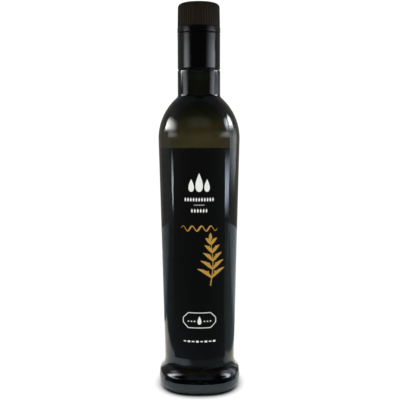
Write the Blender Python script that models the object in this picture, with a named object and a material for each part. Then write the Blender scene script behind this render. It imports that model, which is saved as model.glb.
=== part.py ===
"""Half-litre olive oil bottle with its oil, long-sleeved screw cap and two labels.

The bottle stands on the XY plane with its axis on Z. The front label faces -Y.
Lengths are in metres. The body is round at the shoulder and turns into a
rounded square at the foot, so each level of the glass is a superellipse:
    (|x| / a) ** n + (|y| / a) ** n = 1
where a is the half width at that level and n grows from 2 towards the floor.
"""

import math

import bpy
from mathutils import Vector

# Whole bottle
HEIGHT = 0.3045
TOUCH_GAP = 0.0003
AROUND_GLASS = 48
ROUND = 2.0
SHARP_ANGLE = math.radians(35)

# Glass, outside
FOOT_HALF_WIDTH = 0.0329
FOOT_EXPONENT = 2.45
FOOT_BAND_TOP = 0.0100
HEEL_RADIUS = 0.0065
BEARING_WIDTH = 0.0035
PUNT_RISE = 0.0032
PUNT_RINGS = 4
BEVEL_HALF_WIDTH = 0.0323
BEVEL_TOP = 0.0133
BEVEL_RADIUS = 0.0030
WAIST_HALF_WIDTH = 0.0282
WAIST_HEIGHT = 0.0186
WAIST_RADIUS = 0.0150
WAIST_EXPONENT = 2.2
WAIST_END = 0.0262
ROUND_FROM = 0.060
SHOULDER_HALF_WIDTH = 0.03225
SHOULDER_START = 0.2004
SHOULDER_RADIUS = 0.0426
SHOULDER_END = 0.2320
SHOULDER_RINGS = 8
WALL_HOLLOW = 0.00012
WALL_RINGS = 8
COLLAR_RADIUS = 0.01675
COLLAR_FILLET = 0.0030
COLLAR_TOP = 0.2538
COLLAR_EDGE = 0.0010

# Glass, mouth and inside
FINISH_RADIUS = 0.01425
MOUTH_HEIGHT = 0.3008
LIP_RADIUS = 0.0010
BORE_RADIUS = 0.0110
WALL = 0.0029
FLOOR_THICKNESS = 0.0058
FLOOR_CROWN = 0.0020
INNER_FOOT_HALF_WIDTH = 0.0278
INNER_FOOT_HEIGHT = 0.0135
INNER_FOOT_RADIUS = 0.0030
INNER_HEEL_RADIUS = 0.0050
INNER_WAIST_HEIGHT = 0.0215
INNER_WAIST_RADIUS = 0.0040
THROAT_RADIUS = 0.0050
THROAT_RUN = 0.0040
INNER_RINGS = 6

# Oil
OIL_LEVEL = 0.2455
AROUND_OIL = 36

# Closure
SLEEVE_RADIUS = 0.01668
SLEEVE_EDGE = 0.0005
TEAR_LINE = 0.2824
BEAD_RADIUS = 0.0168
BEAD_HEIGHT = 0.0012
GRIP_START = 0.2866
GRIP_LOWER_RADIUS = 0.01660
GRIP_UPPER_RADIUS = 0.01627
GRIP_RIBS = 48
GRIP_DEPTH = 0.00028
CAP_EDGE = 0.0029
CAP_EDGE_RINGS = 4
CAP_CEILING = 0.3013
AROUND_SLEEVE = 48

# Labels
LABEL_WIDTH = 0.0422
LABEL_BOTTOM = 0.0287
LABEL_TOP = 0.1932
LABEL_CORNER = 0.0015
LABEL_THICKNESS = 0.0003
LABEL_COLUMNS = 14
LABEL_ROWS = 7
CORNER_STEPS = 3


def clear_scene():
    """Remove whatever the file opened with."""
    for old in list(bpy.data.objects):
        bpy.data.objects.remove(old, do_unlink=True)


def finish(name, colour, roughness, metallic=0.0, transmission=0.0, ior=1.5):
    """A Principled material with the colour and gloss of one sub-part."""
    material = bpy.data.materials.new(name)
    material.use_nodes = True
    shader = material.node_tree.nodes["Principled BSDF"]
    shader.inputs["Base Color"].default_value = (*colour, 1.0)
    shader.inputs["Roughness"].default_value = roughness
    shader.inputs["Metallic"].default_value = metallic
    shader.inputs["Transmission Weight"].default_value = transmission
    shader.inputs["IOR"].default_value = ior
    material.diffuse_color = (*colour, 1.0)
    return material


def exponent_at(height):
    """Squareness of the glass: foot value, waist value, then easing to a circle."""
    if height <= FOOT_BAND_TOP:
        return FOOT_EXPONENT
    if height <= WAIST_END:
        share = (height - FOOT_BAND_TOP) / (WAIST_END - FOOT_BAND_TOP)
        return FOOT_EXPONENT + share * (WAIST_EXPONENT - FOOT_EXPONENT)
    if height <= ROUND_FROM:
        share = (height - WAIST_END) / (ROUND_FROM - WAIST_END)
        return WAIST_EXPONENT + share * (ROUND - WAIST_EXPONENT)
    return ROUND


def reach(angle, half_width, exponent):
    """Distance from the axis to a superellipse in the direction of an angle."""
    across = abs(math.cos(angle)) ** exponent + abs(math.sin(angle)) ** exponent
    return half_width / across ** (1 / exponent)


def wall_half_width(height):
    """Outer half width of the tapering wall: a straight taper with a slight hollow."""
    share = (height - WAIST_HEIGHT) / (SHOULDER_START - WAIST_HEIGHT)
    taper = WAIST_HALF_WIDTH + share * (SHOULDER_HALF_WIDTH - WAIST_HALF_WIDTH)
    return taper - 4 * WALL_HOLLOW * share * (1 - share)


def shoulder_half_width(height, inset=0.0):
    """Half width on the shoulder's arc, or on the arc that runs inset inside it."""
    radius = SHOULDER_RADIUS - inset
    centre = SHOULDER_HALF_WIDTH - SHOULDER_RADIUS
    return centre + math.sqrt(radius ** 2 - (height - SHOULDER_START) ** 2)


def spread(start, end, count):
    """Evenly spaced values from start to end, both included."""
    return [start + (end - start) * step / (count - 1) for step in range(count)]


def eased(corners, steps=3):
    """Outline through (half width, height, fillet radius) corners, fillets as arcs."""
    places = [Vector(corner[:2]) for corner in corners]
    outline = [places[0]]
    for before, place, after, corner in zip(places, places[1:], places[2:], corners[1:]):
        radius = corner[2]
        back = (before - place).normalized()
        ahead = (after - place).normalized()
        half = back.angle(ahead) / 2
        if radius == 0:
            outline.append(place)
            continue
        middle = place + (back + ahead).normalized() * radius / math.sin(half)
        first = place + back * radius / math.tan(half) - middle
        last = place + ahead * radius / math.tan(half) - middle
        sweep = math.pi - 2 * half
        for step in range(steps + 1):
            share = step / steps
            arm = first * math.sin((1 - share) * sweep) + last * math.sin(share * sweep)
            outline.append(middle + arm / math.sin(sweep))
    outline.append(places[-1])
    return [(point.x, point.y) for point in outline]


def turned(name, rings, around, material, closed=False, exponent=None, ribs=None):
    """Sweep rings of (half width, height) round Z into one closed, smooth mesh.

    A ring of no width is a pole. A closed outline joins its last ring to its
    first. ribs gives, for each ring, how deep every second point is drawn in.
    """
    points = []
    rows = []
    for index, (width, height) in enumerate(rings):
        if width < 1e-9:
            rows.append([len(points)])
            points.append((0.0, 0.0, height))
            continue
        power = exponent(height) if exponent else ROUND
        depth = ribs[index] if ribs else 0.0
        row = []
        for step in range(around):
            angle = 2 * math.pi * step / around
            radius = reach(angle, width, power) - depth * (step % 2)
            row.append(len(points))
            points.append((radius * math.cos(angle), radius * math.sin(angle), height))
        rows.append(row)
    faces = []
    followers = rows[1:] + rows[:1] if closed else rows[1:]
    for low, high in zip(rows, followers):
        for step in range(around):
            after = (step + 1) % around
            corner = [low[step % len(low)], low[after % len(low)]]
            corner += [high[after % len(high)], high[step % len(high)]]
            faces.append(list(dict.fromkeys(corner)))
    return solid(name, points, faces, material)


def solid(name, points, faces, material):
    """A named object from points and outward faces, shaded smooth."""
    mesh = bpy.data.meshes.new(name)
    mesh.from_pydata(points, [], faces)
    mesh.shade_smooth()
    mesh.set_sharp_from_angle(angle=SHARP_ANGLE)
    mesh.materials.append(material)
    item = bpy.data.objects.new(name, mesh)
    bpy.context.scene.collection.objects.link(item)
    return item


def outer_outline():
    """Outside of the glass, from the middle of the punt up to the mouth."""
    bearing_outer = FOOT_HALF_WIDTH - HEEL_RADIUS
    bearing_inner = bearing_outer - BEARING_WIDTH
    punt = []
    for width in spread(0.0, bearing_inner, PUNT_RINGS)[:-1]:
        punt.append((width, PUNT_RISE * (1 - (width / bearing_inner) ** 2)))
    foot = eased([
        (bearing_inner, 0.0, 0),
        (FOOT_HALF_WIDTH, 0.0, HEEL_RADIUS),
        (FOOT_HALF_WIDTH, FOOT_BAND_TOP, 0),
        (BEVEL_HALF_WIDTH, BEVEL_TOP, BEVEL_RADIUS),
        (WAIST_HALF_WIDTH, WAIST_HEIGHT, WAIST_RADIUS),
        (wall_half_width(WAIST_END), WAIST_END, 0),
    ])
    levels = spread(WAIST_END, SHOULDER_START, WALL_RINGS)[1:]
    wall = [(wall_half_width(z), z) for z in levels]
    levels = shoulder_heights(SHOULDER_RADIUS, SHOULDER_END, SHOULDER_RINGS)
    shoulder = [(shoulder_half_width(z), z) for z in levels]
    shoulder_tip = shoulder[-1][0]
    fall = (SHOULDER_END - SHOULDER_START) / (shoulder_tip - SHOULDER_HALF_WIDTH + SHOULDER_RADIUS)
    collar_foot = SHOULDER_END + (shoulder_tip - COLLAR_RADIUS) / fall
    neck = eased([
        (shoulder_tip, SHOULDER_END, 0),
        (COLLAR_RADIUS, collar_foot, COLLAR_FILLET),
        (COLLAR_RADIUS, COLLAR_TOP, COLLAR_EDGE),
        (FINISH_RADIUS, COLLAR_TOP, 0),
        (FINISH_RADIUS, MOUTH_HEIGHT, LIP_RADIUS),
        (BORE_RADIUS, MOUTH_HEIGHT, LIP_RADIUS),
        (BORE_RADIUS, OIL_LEVEL, 0),
    ])
    return punt + foot + wall + shoulder[:-1] + neck[:-1]


def shoulder_heights(radius, top, count):
    """Heights that divide the shoulder's arc into equal angles."""
    sweep = math.asin((top - SHOULDER_START) / radius)
    return [SHOULDER_START + radius * math.sin(turn) for turn in spread(0, sweep, count)[1:]]


def inner_outline(gap=0.0):
    """Inside of the glass from the oil level down to the floor, gap further in."""
    inset = WALL + gap
    radius = SHOULDER_RADIUS - inset
    bore = BORE_RADIUS - gap
    reach_in = bore - SHOULDER_HALF_WIDTH + SHOULDER_RADIUS
    throat = SHOULDER_START + math.sqrt(radius ** 2 - reach_in ** 2)
    levels = shoulder_heights(radius, throat - THROAT_RUN, INNER_RINGS)
    shoulder = [(shoulder_half_width(z, inset), z) for z in reversed(levels)]
    top = eased([(bore, OIL_LEVEL, 0), (bore, throat, THROAT_RADIUS), shoulder[0] + (0,)])
    levels = spread(SHOULDER_START, WAIST_END, INNER_RINGS)
    wall = [(wall_half_width(z) - inset, z) for z in levels]
    floor = FLOOR_THICKNESS + gap
    foot = eased([
        wall[-1] + (0,),
        (WAIST_HALF_WIDTH - inset, INNER_WAIST_HEIGHT, INNER_WAIST_RADIUS),
        (INNER_FOOT_HALF_WIDTH - gap, INNER_FOOT_HEIGHT, INNER_FOOT_RADIUS),
        (INNER_FOOT_HALF_WIDTH - gap, floor, INNER_HEEL_RADIUS),
        (INNER_FOOT_HALF_WIDTH / 2, floor + FLOOR_CROWN / 2, 0),
        (0.0, floor + FLOOR_CROWN, 0),
    ])
    return top + shoulder[1:] + wall + foot[1:]


def build_glass(material):
    """The bottle: one open shell of glass with a punted, flat-rimmed foot."""
    rings = outer_outline() + inner_outline()
    return turned("bottle_glass", rings, AROUND_GLASS, material, exponent=exponent_at)


def build_oil(material):
    """The oil, up to its level in the neck, just clear of the glass."""
    rings = inner_outline(TOUCH_GAP)[::-1] + [(0.0, OIL_LEVEL)]
    return turned("oil", rings, AROUND_OIL, material, exponent=exponent_at)


def build_sleeve(material):
    """The smooth tube below the tear line, standing on the glass collar."""
    bore = FINISH_RADIUS + TOUCH_GAP
    bottom = COLLAR_TOP + TOUCH_GAP
    top = TEAR_LINE - TOUCH_GAP
    rings = eased([
        (bore, bottom, 0),
        (SLEEVE_RADIUS, bottom, SLEEVE_EDGE),
        (SLEEVE_RADIUS, top - BEAD_HEIGHT, 0),
        (BEAD_RADIUS, top - BEAD_HEIGHT / 2, 0),
        (BEAD_RADIUS, top, 0),
        (bore, top, 0),
    ])
    return turned("cap_sleeve", rings, AROUND_SLEEVE, material, closed=True)


def build_cap(material):
    """The screw cap: a cup with a smooth band and a ribbed grip above it."""
    bore = FINISH_RADIUS + TOUCH_GAP
    smooth = [
        (bore, CAP_CEILING),
        (bore, TEAR_LINE),
        (BEAD_RADIUS, TEAR_LINE),
        (BEAD_RADIUS, TEAR_LINE + BEAD_HEIGHT),
        (GRIP_LOWER_RADIUS, GRIP_START - BEAD_HEIGHT / 2),
    ]
    grip = eased([
        (GRIP_LOWER_RADIUS, GRIP_START, 0),
        (GRIP_UPPER_RADIUS, HEIGHT, CAP_EDGE),
        (0.0, HEIGHT, 0),
    ], steps=CAP_EDGE_RINGS)
    rings = [(0.0, CAP_CEILING)] + smooth + grip
    ribs = [0.0] * (1 + len(smooth)) + [GRIP_DEPTH] * (len(grip) - 2) + [0.0, 0.0]
    return turned("screw_cap", rings, 2 * GRIP_RIBS, material, ribs=ribs)


def label_rows():
    """Heights of a label's rows, closer together in its rounded corners."""
    lower = [
        LABEL_BOTTOM + LABEL_CORNER * (1 - math.cos(turn))
        for turn in spread(0, math.pi / 2, CORNER_STEPS + 1)
    ]
    upper = [LABEL_TOP + LABEL_BOTTOM - height for height in reversed(lower)]
    return lower[:-1] + spread(lower[-1], upper[0], LABEL_ROWS) + upper[1:]


def label_half_width(height):
    """Half of the label's width at a height, less in its rounded corners."""
    edge = min(height - LABEL_BOTTOM, LABEL_TOP - height)
    into = max(LABEL_CORNER - edge, 0.0)
    return LABEL_WIDTH / 2 - LABEL_CORNER + math.sqrt(max(LABEL_CORNER ** 2 - into ** 2, 0.0))


def build_label(name, facing, material):
    """A thin skin with rounded corners, wrapped on the wall round the facing angle."""
    columns = LABEL_COLUMNS + 1
    heights = label_rows()
    points = []
    for lift in (TOUCH_GAP, TOUCH_GAP + LABEL_THICKNESS):
        for height in heights:
            wall = wall_half_width(height)
            for side in spread(-1.0, 1.0, columns):
                angle = facing + side * label_half_width(height) / wall
                radius = reach(angle, wall, exponent_at(height)) + lift
                points.append((radius * math.cos(angle), radius * math.sin(angle), height))
    layer = columns * len(heights)
    faces = []
    for row in range(len(heights) - 1):
        for column in range(columns - 1):
            inner = row * columns + column
            quad = [inner, inner + 1, inner + columns + 1, inner + columns]
            faces.append([corner + layer for corner in quad])
            faces.append(quad[::-1])
    rim = list(range(columns))
    rim += [row * columns + columns - 1 for row in range(1, len(heights))]
    rim += [layer - 1 - column for column in range(1, columns)]
    rim += [row * columns for row in range(len(heights) - 2, 0, -1)]
    for start, end in zip(rim, rim[1:] + rim[:1]):
        faces.append([start, end, end + layer, start + layer])
    return solid(name, points, faces, material)


def main():
    """Build every piece of the bottle in its place."""
    clear_scene()
    green_glass = finish("antique_green_glass", (0.035, 0.042, 0.012), 0.03, 0.0, 1.0, 1.52)
    olive_oil = finish("olive_oil", (0.32, 0.22, 0.02), 0.02, 0.0, 1.0, 1.47)
    black_lacquer = finish("black_lacquered_aluminium", (0.012, 0.011, 0.011), 0.28, 0.3)
    black_paper = finish("black_label_paper", (0.008, 0.008, 0.008), 0.45)
    build_glass(green_glass)
    build_oil(olive_oil)
    build_sleeve(black_lacquer)
    build_cap(black_lacquer.copy())
    build_label("front_label", -math.pi / 2, black_paper)
    build_label("back_label", math.pi / 2, black_paper.copy())


main()
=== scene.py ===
"""Looks of a half-litre olive oil bottle: dark glass, long black closure, black labels.

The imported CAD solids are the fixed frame. Lengths are in metres, the bottle's
axis is Z and its front label faces -Y. Each level of the glass is a superellipse,
    (|x| / a) ** n + (|y| / a) ** n = 1
where a is the half width at that level and n grows from 2 towards the floor.
"""

import logging
import math
from collections.abc import Iterator
from dataclasses import dataclass, field
from enum import Enum

import bpy
import numpy as np
from mathutils import Euler, Matrix

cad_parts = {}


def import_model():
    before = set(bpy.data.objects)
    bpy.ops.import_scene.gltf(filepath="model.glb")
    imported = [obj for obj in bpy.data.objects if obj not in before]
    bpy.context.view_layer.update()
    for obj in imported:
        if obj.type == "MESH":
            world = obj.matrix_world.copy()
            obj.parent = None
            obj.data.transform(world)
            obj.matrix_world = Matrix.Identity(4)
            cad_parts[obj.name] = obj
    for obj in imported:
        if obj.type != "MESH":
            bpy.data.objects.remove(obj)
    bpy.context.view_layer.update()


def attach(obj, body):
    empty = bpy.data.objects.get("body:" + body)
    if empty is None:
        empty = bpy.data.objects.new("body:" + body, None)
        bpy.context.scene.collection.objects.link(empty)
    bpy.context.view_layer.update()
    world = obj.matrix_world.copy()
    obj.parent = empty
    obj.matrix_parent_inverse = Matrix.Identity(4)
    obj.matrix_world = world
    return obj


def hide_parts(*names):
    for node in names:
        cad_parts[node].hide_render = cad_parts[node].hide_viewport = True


log = logging.getLogger("olive_oil_bottle")

BODY = "root"
FULL_TURN = 2 * math.pi
FRONT = -math.pi / 2
BACK = math.pi / 2
SHARP_ANGLE = math.radians(40)
# A ring no wider than this is a pole.
ON_AXIS = 1e-7
# No length is divided by a radius below this.
LEAST_RADIUS = 1e-6
WHITE = (1.0, 1.0, 1.0, 1.0)
# The light of the plain white that the camera sees round the bottle.
SEEN_WHITE = 1.05


class Slot(Enum):
    """The record's material slots."""

    GLASS = "glass"
    OIL = "oil"
    CLOSURE = "closure"
    LABEL = "label"


class Reach(Enum):
    """Which pieces a studio light falls on: all but the flagged ones, or only those."""

    ALL_BUT = "EXCLUDE"
    ONLY = "INCLUDE"


# Colour and nodes


def linear(code: str) -> tuple[float, float, float, float]:
    """Turns an sRGB hex colour into linear RGBA.

    Args:
        code: Six hex digits, such as "d6a850".

    Returns:
        Red, green, blue and an alpha of one.
    """
    parts = np.array([int(code[start:start + 2], 16) for start in (0, 2, 4)]) / 255
    light = np.where(parts <= 0.04045, parts / 12.92, ((parts + 0.055) / 1.055) ** 2.4)
    return (*(float(part) for part in light), 1.0)


def add_node(
    tree: bpy.types.NodeTree, kind: str, inputs: dict | None = None, **settings: object,
) -> bpy.types.Node:
    """Adds a node with its settings and links.

    Args:
        tree: The node tree that takes the node.
        kind: The node's type name.
        inputs: Values or output sockets for its inputs, by name or number.
        **settings: Attributes of the node itself.

    Returns:
        The new node.
    """
    node = tree.nodes.new(kind)
    for name, value in settings.items():
        setattr(node, name, value)
    for name, value in (inputs or {}).items():
        if isinstance(value, bpy.types.NodeSocket):
            tree.links.new(value, node.inputs[name])
        else:
            node.inputs[name].default_value = value
    return node


def new_material(name: str) -> tuple[bpy.types.Material, bpy.types.NodeTree, bpy.types.Node]:
    """Makes an empty node material.

    Args:
        name: What the real finish is called.

    Returns:
        The material, its node tree and its output node.
    """
    material = bpy.data.materials.new(name)
    material.use_nodes = True
    tree = material.node_tree
    tree.nodes.clear()
    return material, tree, add_node(tree, "ShaderNodeOutputMaterial")


# Finishes


@dataclass(frozen=True)
class BottleGlass:
    """Soda-lime bottle glass, nearly black green, blown in a mould and fire polished.

    The eye sees sharp reflections with a faint ripple, and hardly any light
    through the wall, so the shoulder glows brown and the thick collar is black.
    """

    name: str = "antique_green_bottle_glass"
    ior: float = 1.52
    roughness: float = 0.012
    passed_colour: str = "304d00"
    absorption: float = 470.0
    ripple_width: float = 0.022
    ripple_depth: float = 0.00004

    def make(self) -> bpy.types.Material:
        """Builds the glass, with a soft wide bump for its ripple.

        Of each colour, exp(-a (1 - c) x) passes through a depth x, with a the
        absorption and c the passed colour.

        Returns:
            The glass.
        """
        material, tree, output = new_material(self.name)
        place = add_node(tree, "ShaderNodeTexCoord")
        ripple = add_node(tree, "ShaderNodeTexNoise", {
            "Vector": place.outputs["Object"], "Scale": 1 / self.ripple_width,
            "Detail": 1.0, "Roughness": 0.4,
        })
        bump = add_node(tree, "ShaderNodeBump", {
            "Height": ripple.outputs["Fac"], "Distance": self.ripple_depth, "Strength": 1.0,
        })
        surface = add_node(tree, "ShaderNodeBsdfPrincipled", {
            "Base Color": WHITE, "Roughness": self.roughness, "IOR": self.ior,
            "Transmission Weight": 1.0, "Normal": bump.outputs["Normal"],
        })
        volume = add_node(tree, "ShaderNodeVolumeAbsorption", {
            "Color": linear(self.passed_colour), "Density": self.absorption,
        })
        tree.links.new(surface.outputs["BSDF"], output.inputs["Surface"])
        tree.links.new(volume.outputs["Volume"], output.inputs["Volume"])
        return material


@dataclass(frozen=True)
class OliveOil:
    """Filtered olive oil: a clear liquid, golden green in the depth of the bottle."""

    name: str = "filtered_olive_oil"
    ior: float = 1.47
    passed_colour: str = "d8be3e"
    absorption: float = 33.0

    def make(self) -> bpy.types.Material:
        """Builds the oil, which light passes by the same formula as the glass.

        Returns:
            The oil.
        """
        material, tree, output = new_material(self.name)
        surface = add_node(tree, "ShaderNodeBsdfPrincipled", {
            "Base Color": WHITE, "Roughness": 0.0, "IOR": self.ior,
            "Transmission Weight": 1.0,
        })
        volume = add_node(tree, "ShaderNodeVolumeAbsorption", {
            "Color": linear(self.passed_colour), "Density": self.absorption,
        })
        tree.links.new(surface.outputs["BSDF"], output.inputs["Surface"])
        tree.links.new(volume.outputs["Volume"], output.inputs["Volume"])
        return material


@dataclass(frozen=True)
class Coated:
    """A coated surface whose gloss and tone vary a little over its grain.

    grain is the width of the texture and relief its depth. The real grain of
    these coatings is too fine to show, so it is drawn as coarse as is given.
    The noise lies mostly within noise_range.
    """

    name: str
    colour: str
    darker: str
    roughness: float
    grain: float
    relief: float
    gloss_change: float = 0.05
    metallic: float = 0.0
    specular: float = 0.5
    noise_range: tuple[float, float] = (0.3, 0.7)

    def make(self) -> bpy.types.Material:
        """Builds the coating from one noise in the piece's own coordinates.

        Returns:
            The coating.
        """
        material, tree, output = new_material(self.name)
        place = add_node(tree, "ShaderNodeTexCoord")
        grain = add_node(tree, "ShaderNodeTexNoise", {
            "Vector": place.outputs["Object"], "Scale": 1 / self.grain, "Detail": 3.0,
        })
        tint = add_node(tree, "ShaderNodeMix", data_type="RGBA", inputs={
            "A": linear(self.colour), "B": linear(self.darker), "Factor": grain.outputs["Fac"],
        })
        gloss = add_node(tree, "ShaderNodeMapRange", {
            "Value": grain.outputs["Fac"], "From Min": self.noise_range[0], "From Max": self.noise_range[1],
            "To Min": self.roughness - self.gloss_change, "To Max": self.roughness + self.gloss_change,
        })
        bump = add_node(tree, "ShaderNodeBump", {
            "Height": grain.outputs["Fac"], "Distance": self.relief, "Strength": 1.0,
        })
        surface = add_node(tree, "ShaderNodeBsdfPrincipled", {
            "Base Color": tint.outputs["Result"], "Roughness": gloss.outputs["Result"],
            "Metallic": self.metallic, "Specular IOR Level": self.specular,
            "Normal": bump.outputs["Normal"],
        })
        tree.links.new(surface.outputs["BSDF"], output.inputs["Surface"])
        return material


# Black stoving lacquer on drawn aluminium: the eye sees deep black with soft-edged satin highlights.
SLEEVE_LACQUER = Coated(
    "black_stoving_lacquer", "030203", "020202",
    roughness=0.17, grain=0.0016, relief=0.000002, gloss_change=0.03,
)
# The same lacquer over the rolled knurl: a duller, browner black.
KNURL_LACQUER = Coated(
    "brown_black_knurl_lacquer", "1d160c", "130e08",
    roughness=0.36, grain=0.0012, relief=0.000006, specular=0.2,
)
# Black machine-coated label paper: an even black with a broad, weak sheen.
LABEL_PAPER = Coated(
    "black_coated_label_paper", "0d0d0d", "0b0b0b",
    roughness=0.45, grain=0.0007, relief=0.000003, specular=0.08,
)
# Opaque white screen ink: slightly raised and matt.
WHITE_INK = Coated("white_screen_ink", "f6f5f0", "e9e8e2", roughness=0.50, grain=0.0006, relief=0.000004)
# Gold bronze ink: a flat ochre with a slight metal sheen.
GOLD_INK = Coated(
    "gold_bronze_ink", "dcae55", "c9963c", roughness=0.42, grain=0.0006, relief=0.000004, metallic=0.25,
)


# Meshes


class Shape:
    """Collects grids of points and the faces between them for one piece."""

    def __init__(self) -> None:
        """Starts with no points."""
        self.points: list[np.ndarray] = []
        self.quads: list[np.ndarray] = []
        self.triangles: list[np.ndarray] = []
        self.count = 0

    def add_points(self, points: np.ndarray) -> np.ndarray:
        """Adds points and returns their indices in the same layout.

        Args:
            points: Any layout whose last axis is x, y, z.

        Returns:
            Integer indices of the same layout without the last axis.
        """
        flat = points.reshape(-1, 3)
        index = self.count + np.arange(len(flat)).reshape(points.shape[:-1])
        self.points.append(flat)
        self.count += len(flat)
        return index

    def add_quads(self, low: np.ndarray, high: np.ndarray) -> None:
        """Joins two rows of indices by quads that face out when low is below high.

        Args:
            low: Indices that run to the right as seen from outside.
            high: The indices above them, in the same layout.
        """
        quads = np.stack([low[..., :-1], low[..., 1:], high[..., 1:], high[..., :-1]], axis=-1)
        self.quads.append(quads.reshape(-1, 4))

    def add_turned(self, grid: np.ndarray, looped: bool = False) -> None:
        """Adds rings of points round the axis, each row one ring.

        A row whose points all lie on the axis becomes a single pole point.

        Args:
            grid: Rings by steps by three. The rings run so that the outside is
                on the right of the way they go, seen with the axis on the left.
            looped: Joins the last ring to the first.
        """
        poles = np.hypot(grid[..., 0], grid[..., 1]).max(axis=1) < ON_AXIS
        start, end = int(poles[0]), len(grid) - int(poles[-1])
        index = self.add_points(grid[start:end])
        index = np.concatenate([index, index[:, :1]], axis=1)
        if looped:
            index = np.concatenate([index, index[:1]], axis=0)
        self.add_quads(index[:-1], index[1:])
        if poles[0]:
            tip = self.add_points(grid[0, 0])
            ring = index[0]
            self.triangles.append(np.stack([np.full(len(ring) - 1, tip), ring[1:], ring[:-1]], axis=1))
        if poles[-1]:
            tip = self.add_points(grid[-1, 0])
            ring = index[-1]
            self.triangles.append(np.stack([ring[:-1], ring[1:], np.full(len(ring) - 1, tip)], axis=1))

    def add_slab(self, outer: np.ndarray, inner: np.ndarray, looped: bool = False) -> None:
        """Adds a closed skin between two grids of the same layout.

        Args:
            outer: Rows by columns by three, columns to the right and rows
                upwards as seen from outside.
            inner: The same layout on the hidden side.
            looped: The last row meets the first one.
        """
        top = self.add_points(outer)
        under = self.add_points(inner)
        if looped:
            top = np.concatenate([top, top[:1]], axis=0)
            under = np.concatenate([under, under[:1]], axis=0)
        self.add_quads(top[:-1], top[1:])
        self.add_quads(under[:-1, ::-1], under[1:, ::-1])
        self.add_quads(top[:, 0][::-1], under[:, 0][::-1])
        self.add_quads(top[:, -1], under[:, -1])
        if not looped:
            self.add_quads(under[0], top[0])
            self.add_quads(top[-1], under[-1])

    def make_mesh(self, name: str) -> bpy.types.Mesh:
        """Puts the points and faces into a mesh.

        Args:
            name: The mesh's name.

        Returns:
            The mesh.
        """
        mesh = bpy.data.meshes.new(name)
        faces = [face for group in self.quads + self.triangles for face in group.tolist()]
        mesh.from_pydata(np.concatenate(self.points).tolist(), [], faces)
        return mesh

    def build(self, name: str, finish: bpy.types.Material, slot: Slot, *nodes: str) -> bpy.types.Object:
        """Makes the piece, dresses it and lets it ride on the body.

        Args:
            name: The piece's name.
            finish: Its material.
            slot: The record's slot that the finish stands for; not used.
            *nodes: CAD nodes that the piece is shown instead of.

        Returns:
            The new object, at the origin with its place in its mesh.
        """
        mesh = self.make_mesh(name)
        mesh.shade_smooth()
        mesh.set_sharp_from_angle(angle=SHARP_ANGLE)
        mesh.materials.append(finish)
        piece = bpy.data.objects.new(name, mesh)
        bpy.context.scene.collection.objects.link(piece)
        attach(piece, BODY)
        if nodes:
            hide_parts(*nodes)
        log.info("%s: %d points, %d faces", name, len(mesh.vertices), len(mesh.polygons))
        return piece


def fillets(corners: list[tuple[float, float, float]], steps: int) -> np.ndarray:
    """Outline through corners, each rounded by an arc that touches both its sides.

    An arc is m + (p sin((1 - t) s) + q sin(t s)) / sin(s), with m its centre, p
    and q the arms to its two ends, s its sweep and t from 0 to 1.

    Args:
        corners: Half width, height and fillet radius of each corner.
        steps: Parts that each arc is divided into.

    Returns:
        Points of (half width, height).
    """
    place = np.array([corner[:2] for corner in corners])
    outline = [place[:1]]
    for before, here, after, corner in zip(place, place[1:], place[2:], corners[1:]):
        radius = corner[2]
        back = (before - here) / np.linalg.norm(before - here)
        ahead = (after - here) / np.linalg.norm(after - here)
        half = math.acos(float(np.clip(back @ ahead, -1, 1))) / 2
        if radius == 0:
            outline.append(here[None])
            continue
        bisector = (back + ahead) / np.linalg.norm(back + ahead)
        middle = here + bisector * radius / math.sin(half)
        first = here + back * radius / math.tan(half) - middle
        last = here + ahead * radius / math.tan(half) - middle
        sweep = math.pi - 2 * half
        share = np.linspace(0, 1, steps + 1)[:, None]
        arms = first * np.sin((1 - share) * sweep) + last * np.sin(share * sweep)
        outline.append(middle + arms / math.sin(sweep))
    outline.append(place[-1:])
    return np.concatenate(outline)


def refined(outline: np.ndarray, longest: float) -> np.ndarray:
    """Divides an outline's long sides evenly.

    Args:
        outline: Points of (half width, height).
        longest: Length that no side exceeds in the end.

    Returns:
        The outline with its added points.
    """
    pieces = []
    for start, end in zip(outline, outline[1:]):
        count = max(1, math.ceil(float(np.linalg.norm(end - start)) / longest))
        pieces.append(start + (end - start) * np.linspace(0, 1, count + 1)[:-1, None])
    return np.concatenate(pieces + [outline[-1:]])


def smooth_share(value: np.ndarray, low: float, high: float) -> np.ndarray:
    """Rises from 0 to 1 as 3 t^2 - 2 t^3, with t from 0 at low to 1 at high.

    Args:
        value: Where the rise is asked for.
        low: Value up to which it is 0.
        high: Value from which it is 1.

    Returns:
        The rise, in the layout of value.
    """
    share = np.clip((value - low) / (high - low), 0, 1)
    return share * share * (3 - 2 * share)


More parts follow.
